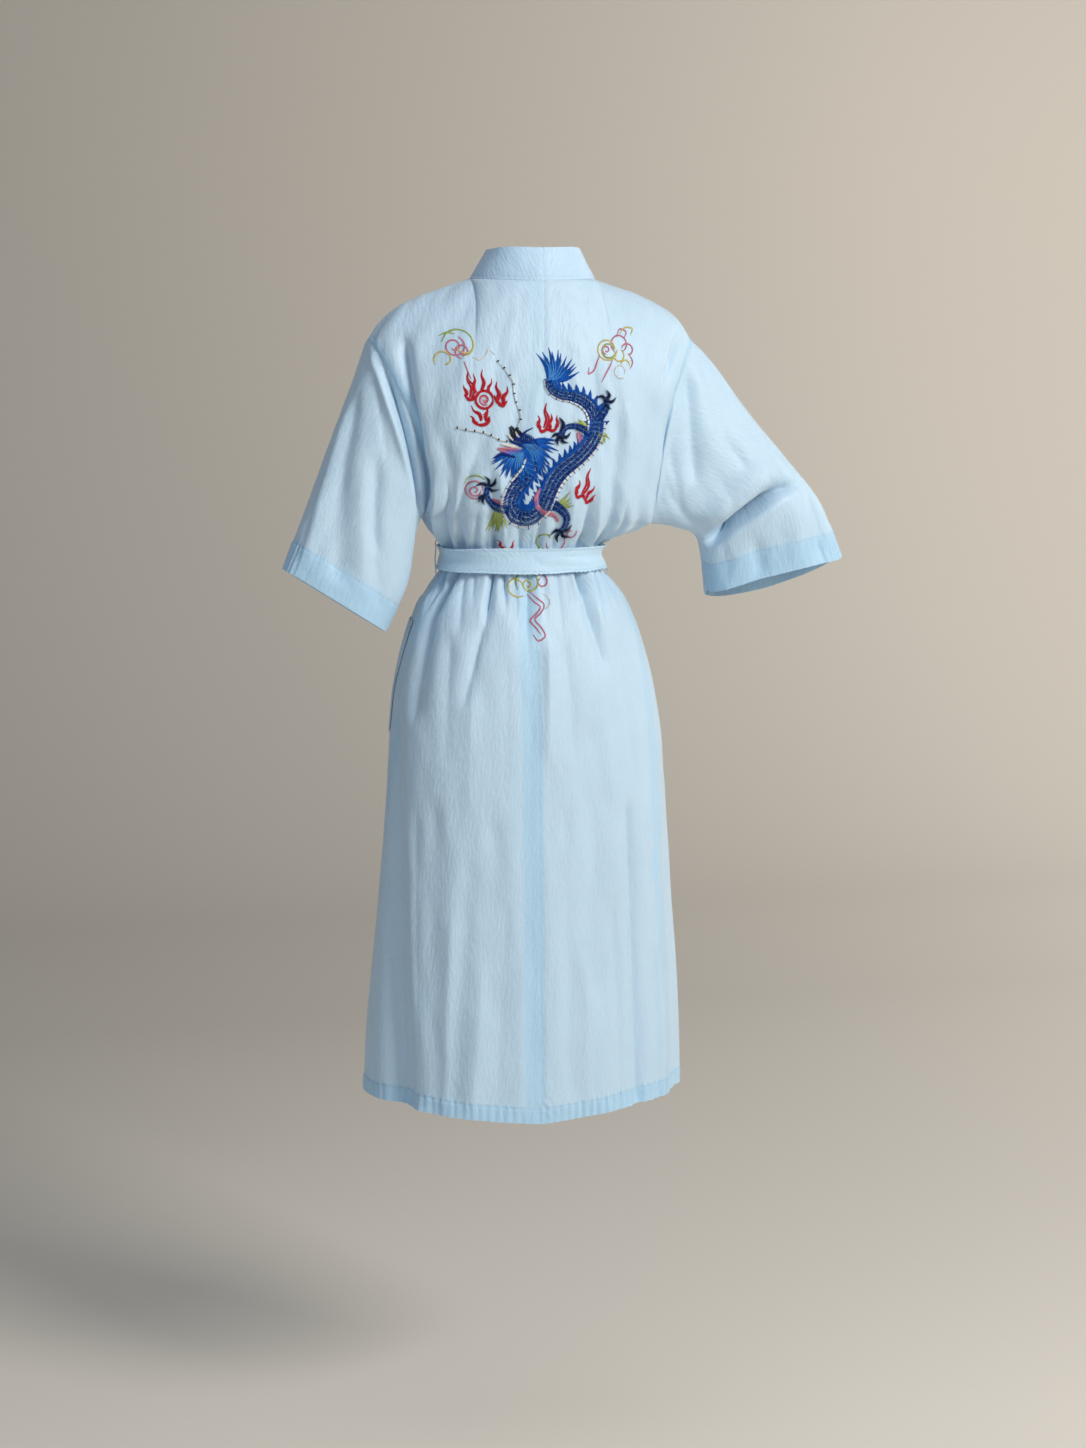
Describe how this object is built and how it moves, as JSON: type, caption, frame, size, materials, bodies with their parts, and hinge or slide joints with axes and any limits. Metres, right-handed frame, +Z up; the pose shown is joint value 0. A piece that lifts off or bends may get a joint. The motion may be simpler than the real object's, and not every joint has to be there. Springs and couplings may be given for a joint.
{
  "type": "kimono robe",
  "caption": "Belted kimono robe that ends just below the knee, in pale cotton, held in its worn shape: wide sleeves, stand-up neckband, wrapped fronts and a flared skirt.",
  "frame": {"origin": "middle of the neck at the height of the nape seam, where the robe rests on a wearer's neck and shoulders", "axes": "+Z up, +Y towards the back of the robe, +X towards the wearer's left, -Y towards the front"},
  "size_m": [0.7764, 0.299, 1.1688],
  "materials": {
    "pale_blue_cotton": "smooth lightweight satin-weave cotton",
    "belt_cotton": "doubled and edge-stitched cotton",
    "sewing_thread": "twisted thread"
  },
  "bodies": {
    "root": {"back_left": "pale_blue_cotton", "back_right": "pale_blue_cotton", "front_left": "pale_blue_cotton", "front_right": "pale_blue_cotton", "sleeve_left": "pale_blue_cotton", "sleeve_right": "pale_blue_cotton", "collar_band_left": "pale_blue_cotton", "collar_band_right": "pale_blue_cotton", "pocket_left": "pale_blue_cotton", "belt": "belt_cotton", "belt_knot": "belt_cotton", "belt_tail_left": "belt_cotton", "belt_tail_right": "belt_cotton", "belt_loop_left": "sewing_thread", "belt_loop_right": "sewing_thread"}
  },
  "joints": []
}
